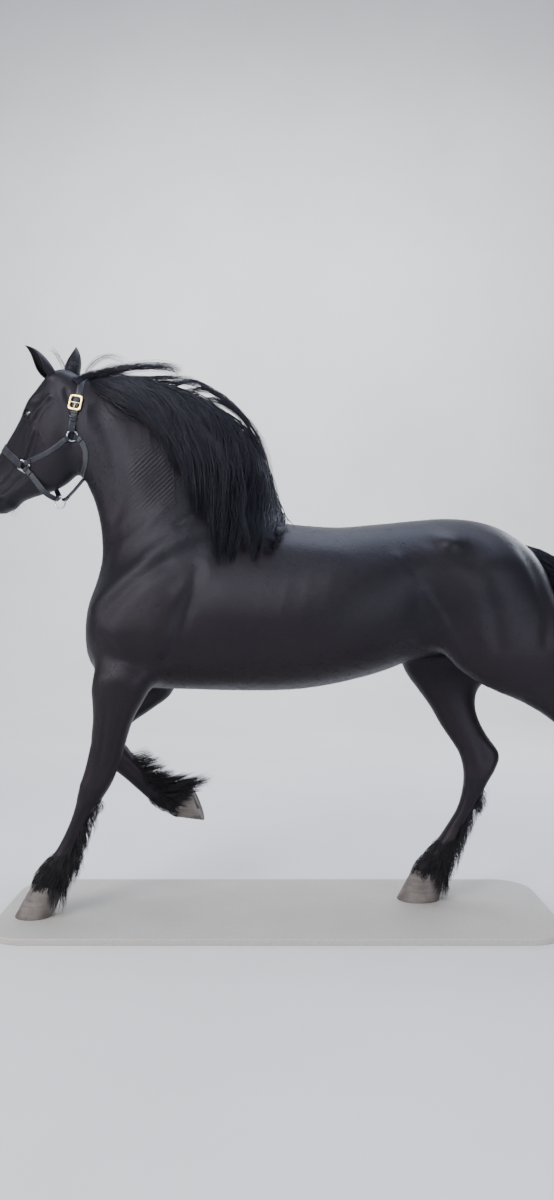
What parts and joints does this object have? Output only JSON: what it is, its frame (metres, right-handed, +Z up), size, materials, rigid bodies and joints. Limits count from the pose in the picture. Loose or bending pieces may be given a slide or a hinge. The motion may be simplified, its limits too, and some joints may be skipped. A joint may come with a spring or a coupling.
{
  "type": "friesian horse model",
  "caption": "Life-size model of a black Friesian horse at the trot, with blown mane, feathered legs and leather headcollar, standing on a flat display base.",
  "frame": {"origin": "middle of the underside of the display base", "axes": "+Z up, the horse faces -X, its left side faces -Y"},
  "size_m": [2.7728, 0.72, 2.2896],
  "materials": {
    "coat": "glossy short black hair",
    "eye": "polished dark brown",
    "hoof": "dusty grey horn",
    "leather": "black, stitched",
    "steel": "polished",
    "brass": "polished",
    "base": "painted satin"
  },
  "bodies": {
    "root": {"ear_left": "coat", "ear_right": "coat", "eye_left": "eye", "eye_right": "eye", "fore_left_hoof": "hoof", "fore_left_lower": "coat", "fore_left_upper": "coat", "fore_right_hoof": "hoof", "fore_right_lower": "coat", "fore_right_upper": "coat", "halter_buckle": "brass", "halter_cheek_left": "leather", "halter_cheek_right": "leather", "halter_chin": "leather", "halter_chin_ring": "steel", "halter_crown": "leather", "halter_jaw": "leather", "halter_noseband": "leather", "halter_ring_left": "steel", "halter_ring_right": "steel", "halter_square_left": "steel", "halter_square_right": "steel", "halter_throat": "leather", "head": "coat", "hind_left_hoof": "hoof", "hind_left_lower": "coat", "hind_left_upper": "coat", "hind_right_hoof": "hoof", "hind_right_lower": "coat", "hind_right_upper": "coat", "neck": "coat", "stand_base": "base", "tail": "coat", "torso": "coat"}
  },
  "joints": []
}
